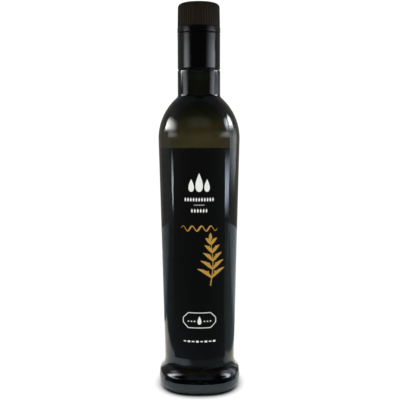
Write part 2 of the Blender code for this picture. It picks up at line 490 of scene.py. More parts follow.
@dataclass(frozen=True)
class BottleForm:
    """The glass's sizes, which the oil, the labels and the closure are fitted to.

    Sizes that begin with inner belong to the inside of the wall. A ring gap is
    the greatest distance between two rings of points.
    """

    foot_half_width: float = 0.0329
    foot_power: float = 2.45
    foot_band_top: float = 0.0100
    heel_radius: float = 0.0065
    bearing_width: float = 0.0035
    punt_rise: float = 0.0032
    bevel_half_width: float = 0.0323
    bevel_top: float = 0.0133
    bevel_radius: float = 0.0030
    waist_half_width: float = 0.0282
    waist_height: float = 0.0186
    waist_radius: float = 0.0150
    waist_power: float = 2.2
    waist_end: float = 0.0262
    round_from: float = 0.060
    shoulder_half_width: float = 0.03225
    shoulder_start: float = 0.2004
    shoulder_radius: float = 0.0426
    shoulder_end: float = 0.2320
    hollow: float = 0.00012
    collar_radius: float = 0.01675
    collar_fillet: float = 0.0030
    collar_top: float = 0.2538
    collar_edge: float = 0.0010
    finish_radius: float = 0.01425
    mouth_height: float = 0.3008
    lip_radius: float = 0.0010
    bore_radius: float = 0.0110
    wall: float = 0.0029
    floor: float = 0.0058
    floor_crown: float = 0.0020
    inner_foot_half_width: float = 0.0278
    inner_foot_height: float = 0.0135
    inner_foot_radius: float = 0.0030
    inner_heel_radius: float = 0.0050
    inner_waist_height: float = 0.0215
    inner_waist_radius: float = 0.0040
    throat_radius: float = 0.0050
    throat_run: float = 0.0040
    oil_level: float = 0.2455
    band_edge: float = 0.0007
    arc_steps: int = 10
    punt_rings: int = 12
    wall_rings: int = 60
    shoulder_rings: int = 44
    foot_ring_gap: float = 0.0006
    neck_ring_gap: float = 0.0016
    inner_arc_steps: int = 8
    inner_wall_rings: int = 40
    inner_shoulder_rings: int = 30
    inner_foot_ring_gap: float = 0.0020

    def power(self, height: np.ndarray) -> np.ndarray:
        """Superellipse power at a height: foot value, waist value, then a circle's 2.

        Args:
            height: Heights over the floor.

        Returns:
            The power n at each height, with straight lines between the three.
        """
        return np.interp(
            height,
            [self.foot_band_top, self.waist_end, self.round_from],
            [self.foot_power, self.waist_power, 2.0],
        )

    def radius(self, angle: np.ndarray, half_width: np.ndarray, height: np.ndarray) -> np.ndarray:
        """Distance of a superellipse from the axis: a / (|cos|^n + |sin|^n)^(1/n).

        Args:
            angle: Angles round the axis, in radians.
            half_width: The half width a.
            height: Heights over the floor, which give n.

        Returns:
            The distances.
        """
        power = self.power(height)
        across = np.abs(np.cos(angle)) ** power + np.abs(np.sin(angle)) ** power
        return half_width / across ** (1 / power)

    def wall_half_width(self, height: np.ndarray) -> np.ndarray:
        """Half width of the wall: a straight taper, less 4 h t (1 - t) for its hollow h.

        Args:
            height: Heights over the floor, with t 0 at the waist and 1 at the shoulder.

        Returns:
            The half width at each height.
        """
        share = (height - self.waist_height) / (self.shoulder_start - self.waist_height)
        taper = self.waist_half_width + share * (self.shoulder_half_width - self.waist_half_width)
        return taper - 4 * self.hollow * share * (1 - share)

    def shoulder_arc(self, top: float, inset: float, count: int) -> np.ndarray:
        """Points on the shoulder's arc: c + r cos(u) and z0 + r sin(u) with u from 0.

        Args:
            top: Height at which the arc ends.
            inset: Length that its radius r is smaller by.
            count: Number of points.

        Returns:
            Points of (half width, height), from the bottom up.
        """
        radius = self.shoulder_radius - inset
        turn = np.linspace(0, math.asin((top - self.shoulder_start) / radius), count)
        centre = self.shoulder_half_width - self.shoulder_radius
        height = self.shoulder_start + radius * np.sin(turn)
        return np.stack([centre + radius * np.cos(turn), height], axis=1)

    def outside(self) -> np.ndarray:
        """Outline from the middle of the punt over the mouth and down the bore to the oil.

        The punt is r (1 - (x / b)^2), with b the inner edge of the bearing ring.
        The shoulder's end is carried on straight until it meets the collar.

        Returns:
            Points of (half width, height).
        """
        bearing = self.foot_half_width - self.heel_radius - self.bearing_width
        across = np.linspace(0, bearing, self.punt_rings)
        punt = np.stack([across, self.punt_rise * (1 - (across / bearing) ** 2)], axis=1)
        foot = fillets([
            (bearing, 0.0, 0),
            (self.foot_half_width, 0.0, self.heel_radius),
            (self.foot_half_width, self.foot_band_top, self.band_edge),
            (self.bevel_half_width, self.bevel_top, self.bevel_radius),
            (self.waist_half_width, self.waist_height, self.waist_radius),
            (float(self.wall_half_width(self.waist_end)), self.waist_end, 0),
        ], self.arc_steps)
        foot = refined(foot, self.foot_ring_gap)
        height = np.linspace(self.waist_end, self.shoulder_start, self.wall_rings)[1:-1]
        wall = np.stack([self.wall_half_width(height), height], axis=1)
        shoulder = self.shoulder_arc(self.shoulder_end, 0.0, self.shoulder_rings)
        tip = shoulder[-1]
        from_centre = tip[0] - self.shoulder_half_width + self.shoulder_radius
        slope = (self.shoulder_end - self.shoulder_start) / from_centre
        collar_foot = self.shoulder_end + (tip[0] - self.collar_radius) / slope
        neck = fillets([
            (tip[0], tip[1], 0),
            (self.collar_radius, collar_foot, self.collar_fillet),
            (self.collar_radius, self.collar_top, self.collar_edge),
            (self.finish_radius, self.collar_top, 0),
            (self.finish_radius, self.mouth_height, self.lip_radius),
            (self.bore_radius, self.mouth_height, self.lip_radius),
            (self.bore_radius, self.oil_level, 0),
        ], self.arc_steps)
        neck = refined(neck, self.neck_ring_gap)
        return np.concatenate([punt[:-1], foot[:-1], wall, shoulder[:-1], neck[:-1]])

    def inside(self, gap: float = 0.0) -> np.ndarray:
        """Outline of the inside from the oil's level down to the floor's middle.

        Args:
            gap: How far the outline lies inside the glass's own, or into the
                wall when it is below zero.

        Returns:
            Points of (half width, height), from the top down.
        """
        inset = self.wall + gap
        radius = self.shoulder_radius - inset
        bore = self.bore_radius - gap
        reach_in = bore - self.shoulder_half_width + self.shoulder_radius
        throat = self.shoulder_start + math.sqrt(radius ** 2 - reach_in ** 2)
        shoulder = self.shoulder_arc(throat - self.throat_run, inset, self.inner_shoulder_rings)[::-1]
        top = fillets([
            (bore, self.oil_level, 0),
            (bore, throat, self.throat_radius),
            (shoulder[0][0], shoulder[0][1], 0),
        ], self.arc_steps)
        top = refined(top, self.neck_ring_gap)
        height = np.linspace(self.shoulder_start, self.waist_end, self.inner_wall_rings)[1:]
        wall = np.stack([self.wall_half_width(height) - inset, height], axis=1)
        floor = self.floor + gap
        foot = fillets([
            (wall[-1][0], wall[-1][1], 0),
            (self.waist_half_width - inset, self.inner_waist_height, self.inner_waist_radius),
            (self.inner_foot_half_width - gap, self.inner_foot_height, self.inner_foot_radius),
            (self.inner_foot_half_width - gap, floor, self.inner_heel_radius),
            (self.inner_foot_half_width / 2, floor + self.floor_crown / 2, 0),
            (0.0, floor + self.floor_crown, 0),
        ], self.inner_arc_steps)
        foot = refined(foot[1:], self.inner_foot_ring_gap)
        return np.concatenate([top, shoulder[1:], wall, foot])


FORM = BottleForm()


def even_angles(count: int) -> np.ndarray:
    """Angles of one full turn, evenly spaced from 0."""
    return np.arange(count) * FULL_TURN / count


def turn_from(angle: np.ndarray, place: float) -> np.ndarray:
    """Turn from a place round the axis to each angle, between minus and plus half a turn."""
    return (angle - place + math.pi) % FULL_TURN - math.pi


def push_out(grid: np.ndarray, distance: np.ndarray) -> None:
    """Moves points away from the axis, in place: x and y times 1 + d / r.

    Args:
        grid: Points in any layout whose last axis is x, y, z.
        distance: How far each point moves, below zero for inwards.
    """
    radius = np.maximum(np.hypot(grid[..., 0], grid[..., 1]), LEAST_RADIUS)
    grid[..., :2] *= (1 + distance / radius)[..., None]


def turned_grid(outline: np.ndarray, angle: np.ndarray) -> np.ndarray:
    """Carries an outline round the axis as superellipses.

    Args:
        outline: Points of (half width, height).
        angle: Angles round the axis, in radians.

    Returns:
        Rings by steps by three.
    """
    width, height = outline[:, :1], outline[:, 1:]
    radius = FORM.radius(angle[None], width, height)
    rise = np.broadcast_to(height, radius.shape)
    return np.stack([radius * np.cos(angle), radius * np.sin(angle), rise], axis=-1)


# Sub-assemblies


@dataclass
class Glass:
    """The bottle itself, with the mould's two parting seams and two small marks on its foot.

    Seams and marks start over the heights relief_from and end over relief_to.
    close_by are the places of extra points round each, in widths of a seam.
    """

    steps: int = 192
    least_step: float = 0.004
    close_by: tuple[float, ...] = (-1.6, -1.0, -0.5, 0.0, 0.5, 1.0, 1.6)
    seam_angles: tuple[float, ...] = (math.radians(-43), math.radians(137))
    seam_height: float = 0.00011
    seam_width: float = 0.00028
    mark_angle: float = math.radians(-90)
    mark_heights: tuple[float, ...] = (0.0178, 0.0120)
    mark_depth: float = 0.0004
    mark_width: float = 0.0007
    relief_from: tuple[float, float] = (0.0008, 0.0030)
    relief_to: tuple[float, float] = (0.2500, 0.2530)

    def angles(self) -> np.ndarray:
        """Even angles with extra ones close to each seam and to the marks.

        Returns:
            Rising angles of one turn, in radians.
        """
        even = even_angles(self.steps)
        near = np.array(self.close_by) * self.seam_width / FORM.foot_half_width
        places = (*self.seam_angles, self.mark_angle)
        extra = np.concatenate([place % FULL_TURN + near for place in places])
        apart = np.abs(even[:, None] - extra).min(axis=1)
        return np.sort(np.concatenate([even[apart > self.least_step], extra]))

    def seam(self, angle: np.ndarray, radius: np.ndarray) -> np.ndarray:
        """Height of the seams over the glass: h exp(-(d / w)^2), d along the surface.

        Args:
            angle: Angles round the axis, in radians.
            radius: Distance of each point from the axis.

        Returns:
            The height at each point.
        """
        rise = np.zeros_like(radius)
        for place in self.seam_angles:
            away = turn_from(angle, place) * radius
            rise += self.seam_height * np.exp(-((away / self.seam_width) ** 2))
        return rise

    def marks(self, angle: np.ndarray, radius: np.ndarray, height: np.ndarray) -> np.ndarray:
        """Depth of the marks: h exp(-((d^2 + (z - z0)^2) / w^2)), d along the surface.

        Args:
            angle: Angles round the axis, in radians.
            radius: Distance of each point from the axis.
            height: Height of each point.

        Returns:
            The depth at each point.
        """
        away = turn_from(angle, self.mark_angle) * radius
        fall = np.zeros_like(radius)
        for level in self.mark_heights:
            fall += self.mark_depth * np.exp(-((away ** 2 + (height - level) ** 2) / self.mark_width ** 2))
        return fall

    def build(self, finish: bpy.types.Material) -> bpy.types.Object:
        """Builds the glass: outside, lip and inside as one closed skin.

        Args:
            finish: The glass.

        Returns:
            The bottle.
        """
        outside, inside = FORM.outside(), FORM.inside()
        angle = self.angles()
        grid = turned_grid(np.concatenate([outside, inside]), angle)
        radius = np.hypot(grid[..., 0], grid[..., 1])
        height = grid[..., 2]
        shown = smooth_share(height, *self.relief_from) * (1 - smooth_share(height, *self.relief_to))
        shown[len(outside):] = 0
        shown[:FORM.punt_rings] = 0
        relief = self.seam(angle[None], radius) - self.marks(angle[None], radius, height)
        push_out(grid, relief * shown)
        shape = Shape()
        shape.add_turned(grid)
        return shape.build("bottle_of_dark_glass", finish, Slot.GLASS, "bottle_glass")


@dataclass
class Oil:
    """The oil, which reaches a little into the wall so that no air shows between."""

    into_wall: float = 0.0004
    steps: int = 128

    def build(self, finish: bpy.types.Material) -> bpy.types.Object:
        """Builds the filling up to its level in the neck.

        Args:
            finish: The oil.

        Returns:
            The filling.
        """
        outline = FORM.inside(-self.into_wall)[::-1]
        top = np.array([[FORM.bore_radius / 2, FORM.oil_level], [0.0, FORM.oil_level]])
        shape = Shape()
        shape.add_turned(turned_grid(np.concatenate([outline, top]), even_angles(self.steps)))
        return shape.build("olive_oil_filling", finish, Slot.OIL, "oil")


@dataclass
class Closure:
    """The long-skirted screw closure: a knurled cap over a smooth sleeve.

    The groove holds three heights from grip_start: the band's upper edge, the
    knurl's foot and the start of its side. The ribs rise over heights from
    grip_start and fade over half widths from grip_upper_radius. The top is a
    shallow dish, whose rim lies dish_rim inside the side.
    """

    steps: int = 192
    skin: float = 0.0003
    fine_edge: float = 0.0002
    sleeve_radius: float = 0.01668
    sleeve_edge: float = 0.0006
    sleeve_arc_steps: int = 6
    sleeve_ring_gap: float = 0.0020
    tear_line: float = 0.2824
    tear_gap: float = 0.0010
    collar_gap: float = 0.0005
    bead_radius: float = 0.0168
    bead_height: float = 0.0012
    bead_fillet: float = 0.0008
    bridges: int = 10
    bridge_turn: float = 0.35
    bridge_width: float = 0.0009
    bridge_columns: int = 4
    bridge_overlap: float = 0.0002
    bridge_depths: tuple[float, float] = (0.0004, 0.0009)
    grip_start: float = 0.2866
    grip_lower_radius: float = 0.0166
    grip_upper_radius: float = 0.01627
    groove: tuple[float, float, float] = (-0.0005, -0.0001, 0.0002)
    top: float = 0.3045
    top_edge: float = 0.0029
    top_thickness: float = 0.0032
    dish_rim: float = 0.0050
    dish_slope: float = 0.0006
    dish_depth: float = 0.0003
    dish_fillet: float = 0.0010
    cap_arc_steps: int = 12
    cap_ring_gap: float = 0.0009
    ribs: int = 48
    rib_steps: int = 8
    rib_depth: float = 0.00034
    rib_power: float = 0.7
    rib_rise: tuple[float, float] = (-0.0002, 0.0004)
    rib_fade: tuple[float, float] = (-0.0030, -0.0012)

    def build_sleeve(self, finish: bpy.types.Material) -> bpy.types.Object:
        """Builds the sleeve with the small bridges that hold it to the cap.

        Args:
            finish: The sleeve's lacquer.

        Returns:
            The sleeve.
        """
        bore = FORM.finish_radius + self.skin
        bottom = FORM.collar_top + self.collar_gap
        top = self.tear_line - self.tear_gap
        outline = fillets([
            (bore, bottom, 0),
            (self.sleeve_radius, bottom, self.sleeve_edge),
            (self.sleeve_radius, top - self.bead_height, self.bead_fillet),
            (self.bead_radius, top - self.bead_height / 2, self.bead_fillet),
            (self.bead_radius, top, self.fine_edge),
            (bore, top, 0),
        ], self.sleeve_arc_steps)
        outline = refined(outline, self.sleeve_ring_gap)
        shape = Shape()
        shape.add_turned(turned_grid(outline, even_angles(self.steps)), looped=True)
        spread = np.linspace(-0.5, 0.5, self.bridge_columns) * self.bridge_width / self.bead_radius
        levels = (top - self.bridge_overlap, self.tear_line + self.bridge_overlap)
        for step in range(self.bridges):
            turn = FULL_TURN * (step + self.bridge_turn) / self.bridges + spread
            outer, inner = (
                turned_grid(np.array([[self.bead_radius - depth, level] for level in levels]), turn)
                for depth in self.bridge_depths
            )
            shape.add_slab(outer, inner)
        return shape.build("closure_sleeve", finish, Slot.CLOSURE, "cap_sleeve")

    def build_cap(self, finish: bpy.types.Material, band: bpy.types.Material) -> bpy.types.Object:
        """Builds the cap: a cup whose side is drawn in between the ribs.

        The side is r(z) - d (1 - |cos(N a / 2)|^0.7) w(z) with N ribs of depth d,
        and w rises from nothing at the smooth band and falls off over the top edge.

        Args:
            finish: The finish of the knurl and the top.
            band: The finish of the smooth band under the knurl.

        Returns:
            The cap.
        """
        bore = FORM.finish_radius + self.skin
        band_end, grip_foot, grip_side = (self.grip_start + step for step in self.groove)
        dish_edge = self.grip_upper_radius - self.dish_rim
        outline = fillets([
            (0.0, self.top - self.top_thickness, 0),
            (bore, self.top - self.top_thickness, 0),
            (bore, self.tear_line, 0),
            (self.bead_radius, self.tear_line, self.fine_edge),
            (self.bead_radius, band_end, self.fine_edge),
            (self.grip_lower_radius, grip_foot, self.fine_edge),
            (self.grip_lower_radius, grip_side, 0),
            (self.grip_upper_radius, self.top, self.top_edge),
            (dish_edge, self.top, self.dish_fillet),
            (dish_edge - self.dish_slope, self.top - self.dish_depth, self.dish_fillet),
            (0.0, self.top - self.dish_depth, 0),
        ], self.cap_arc_steps)
        outline = refined(outline, self.cap_ring_gap)
        angle = even_angles(self.ribs * self.rib_steps)
        grid = turned_grid(outline, angle)
        weight = smooth_share(outline[:, 1], *(self.grip_start + step for step in self.rib_rise))
        weight *= smooth_share(outline[:, 0], *(self.grip_upper_radius + step for step in self.rib_fade))
        valley = 1 - np.abs(np.cos(self.ribs * angle / 2)) ** self.rib_power
        push_out(grid, -self.rib_depth * weight[:, None] * valley[None])
        shape = Shape()
        shape.add_turned(grid)
        cap = shape.build("closure_knurled_cap", finish, Slot.CLOSURE, "screw_cap")
        cap.data.materials.append(band)
        middle = np.empty(len(cap.data.polygons) * 3)
        cap.data.polygons.foreach_get("center", middle)
        smooth = middle[2::3] < grip_foot
        cap.data.polygons.foreach_set("material_index", smooth.astype(np.int32))
        return cap


def ribbon(path: np.ndarray, half: np.ndarray, columns: int, looped: bool = False) -> np.ndarray:
    """Flat plan of a strip along a path: path + u h(t) right(t), with u from -1 to 1.

    Args:
        path: Points of (along the label, height).
        half: Half width of the strip at each point.
        columns: Points across the strip.
        looped: The path closes on itself.

    Returns:
        Path points by columns by two.
    """
    if looped:
        ahead = np.roll(path, -1, axis=0) - np.roll(path, 1, axis=0)
    else:
        ahead = np.gradient(path, axis=0)
    ahead = ahead / np.linalg.norm(ahead, axis=1, keepdims=True)
    right = np.stack([ahead[:, 1], -ahead[:, 0]], axis=1)
    across = np.linspace(-1, 1, columns)[None, :, None]
    return path[:, None] + across * (right * np.asarray(half)[:, None])[:, None]


@dataclass
class Label:
    """A printed paper label wrapped on the bottle's wall.

    A place on it is (along, height): along is the length on the wall from the
    label's middle line, to the right as seen from in front of it.
    """

    name: str
    node: str
    facing: float
    bottom: float = 0.0287
    top: float = 0.1932
    width: float = 0.0422
    corner: float = 0.0015
    lift: float = 0.00003
    thickness: float = 0.00020
    ink: float = 0.00005
    columns: int = 56
    rings: int = 90
    corner_rings: int = 8
    first_turn: float = 0.02

    def on_wall(self, plan: np.ndarray, lift: float) -> np.ndarray:
        """Wraps flat places on the wall: angle = facing + along / half width.

        Args:
            plan: Any layout whose last axis is (along, height).
            lift: Distance from the glass.

        Returns:
            The same layout with x, y, z as its last axis.
        """
        along, height = plan[..., 0], plan[..., 1]
        half_width = FORM.wall_half_width(height)
        angle = self.facing + along / half_width
        radius = FORM.radius(angle, half_width, height) + lift
        return np.stack([radius * np.cos(angle), radius * np.sin(angle), height], axis=-1)

    def build_paper(self, finish: bpy.types.Material) -> bpy.types.Object:
        """Builds the paper, of half width W - c + sqrt(c^2 - (c - e)^2) at e < c from an end.

        Args:
            finish: The paper.

        Returns:
            The label.
        """
        turn = np.linspace(self.first_turn, math.pi / 2, self.corner_rings)
        ends = self.corner * (1 - np.cos(turn))
        height = np.concatenate([
            self.bottom + ends,
            np.linspace(self.bottom + self.corner, self.top - self.corner, self.rings)[1:-1],
            self.top - ends[::-1],
        ])
        edge = np.minimum(height - self.bottom, self.top - height)
        into = np.maximum(self.corner - edge, 0)
        half = self.width / 2 - self.corner + np.sqrt(np.maximum(self.corner ** 2 - into ** 2, 0))
        plan = ribbon(np.stack([np.zeros_like(height), height], axis=1), half, self.columns)
        shape = Shape()
        shape.add_slab(self.on_wall(plan, self.lift + self.thickness), self.on_wall(plan, self.lift))
        return shape.build(self.name, finish, Slot.LABEL, self.node)

    def add_print(self, shape: Shape, plan: np.ndarray, looped: bool = False) -> None:
        """Lays one flat form of ink on the paper.

        Args:
            shape: The piece that the ink joins.
            plan: Rows by columns of (along, height).
            looped: The last row meets the first one.
        """
        under = self.lift + self.thickness - self.ink / 2
        shape.add_slab(self.on_wall(plan, under + self.ink), self.on_wall(plan, under), looped)


# Print


Place = tuple[float, float]

# Each form's first and last share of its length, or its first and last turn, and
# its number of points. They stop short of a tip, so that no face there is a line.
LEAF_SPAN = (0.015, 0.985, 18)
DROP_SPAN = (0.004, 0.985, 30)
DISC_SPAN = (0.08, math.pi - 0.08, 16)
RULE_STEP = 0.0008


def bar(middle: Place, half: float, thick: float) -> np.ndarray:
    """A straight level rule: a path x from -h to h, with an even width.

    Args:
        middle: Its middle.
        half: Half its length.
        thick: Its width.

    Returns:
        Flat plan of the rule.
    """
    count = max(2, math.ceil(2 * half / RULE_STEP))
    along = np.linspace(middle[0] - half, middle[0] + half, count)
    path = np.stack([along, np.full(count, middle[1])], axis=1)
    return ribbon(path, np.full(count, thick / 2), columns=3)


def leaf(foot: Place, length: float, width: float, tilt: float = 0.0, bend: float = 0.0) -> np.ndarray:
    """A pointed leaf: half width w sin(pi t)^0.8 (1.15 - 0.3 t) about a bent rib.

    Args:
        foot: Where the leaf starts.
        length: Its length.
        width: Its greatest width.
        tilt: Its direction, in radians from straight up, to the right.
        bend: How far its rib bows out, as a share of the length.

    Returns:
        Flat plan of the leaf.
    """
    share = np.linspace(*LEAF_SPAN)
    along = length * share
    across = bend * length * 4 * share * (1 - share)
    half = width / 2 * np.sin(math.pi * share) ** 0.8 * (1.15 - 0.3 * share)
    cos, sin = math.cos(tilt), math.sin(tilt)
    path = np.stack([foot[0] + along * sin + across * cos, foot[1] + along * cos - across * sin], axis=1)
    return ribbon(path, half, columns=5)


def drop(middle: Place, width: float, height: float) -> np.ndarray:
    """A drop of oil: half width w sqrt(t) (1 - t)^1.1 scaled to its greatest value.

    Args:
        middle: Its middle.
        width: Its greatest width.
        height: Its height.

    Returns:
        Flat plan of the drop.
    """
    share = np.linspace(*DROP_SPAN)
    form = np.sqrt(share) * (1 - share) ** 1.1
    path = np.stack([np.full(share.size, middle[0]), middle[1] + height * (share - 0.5)], axis=1)
    return ribbon(path, width / 2 * form / form.max(), columns=7)


def disc(middle: Place, radius: float) -> np.ndarray:
    """A round dot: half width r sin(u) at the height -r cos(u).

    Args:
        middle: Its middle.
        radius: Its radius.

    Returns:
        Flat plan of the dot.
    """
    turn = np.linspace(*DISC_SPAN)
    path = np.stack([np.full(turn.size, middle[0]), middle[1] - radius * np.cos(turn)], axis=1)
    return ribbon(path, radius * np.sin(turn), columns=6)


@dataclass
class Emblem:
    """A tall white drop between two small ones."""

    height: float = 0.1679
    tall: float = 0.0144
    wide: float = 0.0056
    small_along: float = 0.0060
    small_below: float = 0.0022
    small_wide: float = 0.0042
    small_share: float = 0.68

    def forms(self) -> Iterator[np.ndarray]:
        """Draws the three drops.

        Yields:
            The flat plan of each.
        """
        yield drop((0.0, self.height), self.wide, self.tall)
        for side in (-1, 1):
            place = (side * self.small_along, self.height - self.small_below)
            yield drop(place, self.small_wide, self.tall * self.small_share)


@dataclass
class Rules:
    """Two rows of fine lozenges with a hairline between them, and a row of dashes far below.

    Each row is its height, its half width and the number of its lozenges. Every
    second dash is heavier.
    """

    rows: tuple[tuple[float, float, int], ...] = ((0.1549, 0.01165, 11), (0.1464, 0.0066, 6))
    lozenge_tall: float = 0.0032
    lozenge_wide: float = 0.0013
    hairline_height: float = 0.1507
    hairline_half: float = 0.0040
    hairline_thick: float = 0.0003
    dashes: int = 8
    dash_height: float = 0.0435
    dash_pitch: float = 0.0033
    dash_half: float = 0.0010
    dash_thick: tuple[float, float] = (0.0008, 0.0014)

    def forms(self) -> Iterator[np.ndarray]:
        """Draws the lozenges, the hairline and the dashes.

        Yields:
            The flat plan of each.
        """
        for height, half, count in self.rows:
            for step in range(count):
                along = (step - (count - 1) / 2) * 2 * half / count
                yield leaf((along, height - self.lozenge_tall / 2), self.lozenge_tall, self.lozenge_wide)
        yield bar((0.0, self.hairline_height), self.hairline_half, self.hairline_thick)
        for step in range(self.dashes):
            along = (step - (self.dashes - 1) / 2) * self.dash_pitch
            yield bar((along, self.dash_height), self.dash_half, self.dash_thick[step % 2])


@dataclass
class DropFrame:
    """A thin white frame with eight straight sides, and a drop between dots inside it."""

    height: float = 0.0605
    half_wide: float = 0.01295
    half_tall: float = 0.0060
    cut: float = 0.0042
    stroke_half: float = 0.00028
    ring_gap: float = 0.0006
    drop_wide: float = 0.0030
    drop_tall: float = 0.0068
    dots: int = 3
    dot_along: float = 0.0038
    dot_pitch: float = 0.0024
    dot_below: float = 0.0008
    dot_radius: float = 0.00055

    def outline(self) -> np.ndarray:
        """Draws the frame's closed strip through the two ends of each cut corner.

        Returns:
            Its flat plan.
        """
        wide, tall = self.half_wide, self.half_tall
        flat, upright = wide - self.cut, tall - self.cut
        corners = np.array([
            (wide, -upright), (wide, upright), (flat, tall), (-flat, tall),
            (-wide, upright), (-wide, -upright), (-flat, -tall), (flat, -tall),
        ]) + (0.0, self.height)
        path = refined(np.concatenate([corners, corners[:1]]), self.ring_gap)[:-1]
        return ribbon(path, np.full(len(path), self.stroke_half), columns=3, looped=True)

    def forms(self) -> Iterator[np.ndarray]:
        """Draws the drop and the dots.

        Yields:
            The flat plan of each.
        """
        yield drop((0.0, self.height), self.drop_wide, self.drop_tall)
        for side in (-1, 1):
            for step in range(self.dots):
                along = side * (self.dot_along + self.dot_pitch * step)
                yield disc((along, self.height - self.dot_below), self.dot_radius)


@dataclass
class Wave:
    """A gold wave whose stroke swells on its rises, tapered at both ends."""

    height: float = 0.1327
    wide: float = 0.0285
    rise: float = 0.0019
    turns: int = 4
    stroke_half: float = 0.00034
    swell: float = 0.00036
    least_taper: float = 0.02
    points: int = 120

    def forms(self) -> Iterator[np.ndarray]:
        """Draws the wave h sin(2 pi n t), of half width (s + e (1 + cos) / 2) sqrt(sin(pi t)).

        Yields:
            Its flat plan.
        """
        share = np.linspace(0, 1, self.points)
        turn = share * self.turns * FULL_TURN
        path = np.stack([self.wide * (share - 0.5), self.height + self.rise * np.sin(turn)], axis=1)
        half = self.stroke_half + self.swell * (0.5 + 0.5 * np.cos(turn))
        half *= np.sqrt(np.clip(np.sin(math.pi * share), self.least_taper, 1))
        yield ribbon(path, half, columns=3)


@dataclass
class Sprig:
    """An upright gold sprig: an arched stem with paired leaves and round buds.

    The leaves of each pair are leaf_shorter shorter and leaf_steeper steeper
    than those of the pair below.
    """

    along: float = 0.0086
    foot: float = 0.0879
    tip: float = 0.1293
    tip_leaf: float = 0.0064
    tip_overlap: float = 0.0004
    stem_end: float = 0.0060
    stem_bow: float = 0.0020
    stem_half: float = 0.00042
    stem_points: int = 50
    pairs: int = 5
    first_point: int = 8
    point_step: int = 9
    leaf_long: float = 0.0138
    leaf_shorter: float = 0.0016
    leaf_wide: float = 0.0026
    leaf_tilt: float = 0.98
    leaf_steeper: float = 0.07
    leaf_bend: float = 0.09
    bud_along: float = 0.0028
    bud_above: float = 0.0052
    bud_radius: float = 0.00075

    def forms(self) -> Iterator[np.ndarray]:
        """Draws the stem, bowed by b sin(pi t), the leaf at its tip, and its leaves and buds.

        Yields:
            The flat plan of each.
        """
        share = np.linspace(0, 1, self.stem_points)
        stem = np.stack([
            self.along + self.stem_bow * np.sin(math.pi * share),
            self.foot + (self.tip - self.stem_end - self.foot) * share,
        ], axis=1)
        yield ribbon(stem, self.stem_half * (1.1 - 0.7 * share), columns=3)
        yield leaf((stem[-1][0], stem[-1][1] - self.tip_overlap), self.tip_leaf, self.leaf_wide)
        for step in range(self.pairs):
            along, height = stem[self.first_point + step * self.point_step]
            size = self.leaf_long - self.leaf_shorter * step
            for side in (-1, 1):
                tilt = side * (self.leaf_tilt - self.leaf_steeper * step)
                yield leaf((along, height), size, self.leaf_wide, tilt, -side * self.leaf_bend)
                if step < self.pairs - 1:
                    yield disc((along + side * self.bud_along, height + self.bud_above), self.bud_radius)


@dataclass
class FrontPrint:
    """Plain ornaments in white and gold on the front label."""

    label: Label
    emblem: Emblem = field(default_factory=Emblem)
    rules: Rules = field(default_factory=Rules)
    frame: DropFrame = field(default_factory=DropFrame)
    wave: Wave = field(default_factory=Wave)
    sprig: Sprig = field(default_factory=Sprig)

    def build(self, white: bpy.types.Material, gold: bpy.types.Material) -> None:
        """Draws every ornament and makes one piece for each ink.

        Args:
            white: The white ink.
            gold: The gold ink.
        """
        in_white, in_gold = Shape(), Shape()
        for plan in (*self.emblem.forms(), *self.rules.forms()):
            self.label.add_print(in_white, plan)
        self.label.add_print(in_white, self.frame.outline(), looped=True)
        for plan in self.frame.forms():
            self.label.add_print(in_white, plan)
        for plan in (*self.wave.forms(), *self.sprig.forms()):
            self.label.add_print(in_gold, plan)
        in_white.build("front_print_white", white, Slot.LABEL)
        in_gold.build("front_print_gold", gold, Slot.LABEL)


# Studio


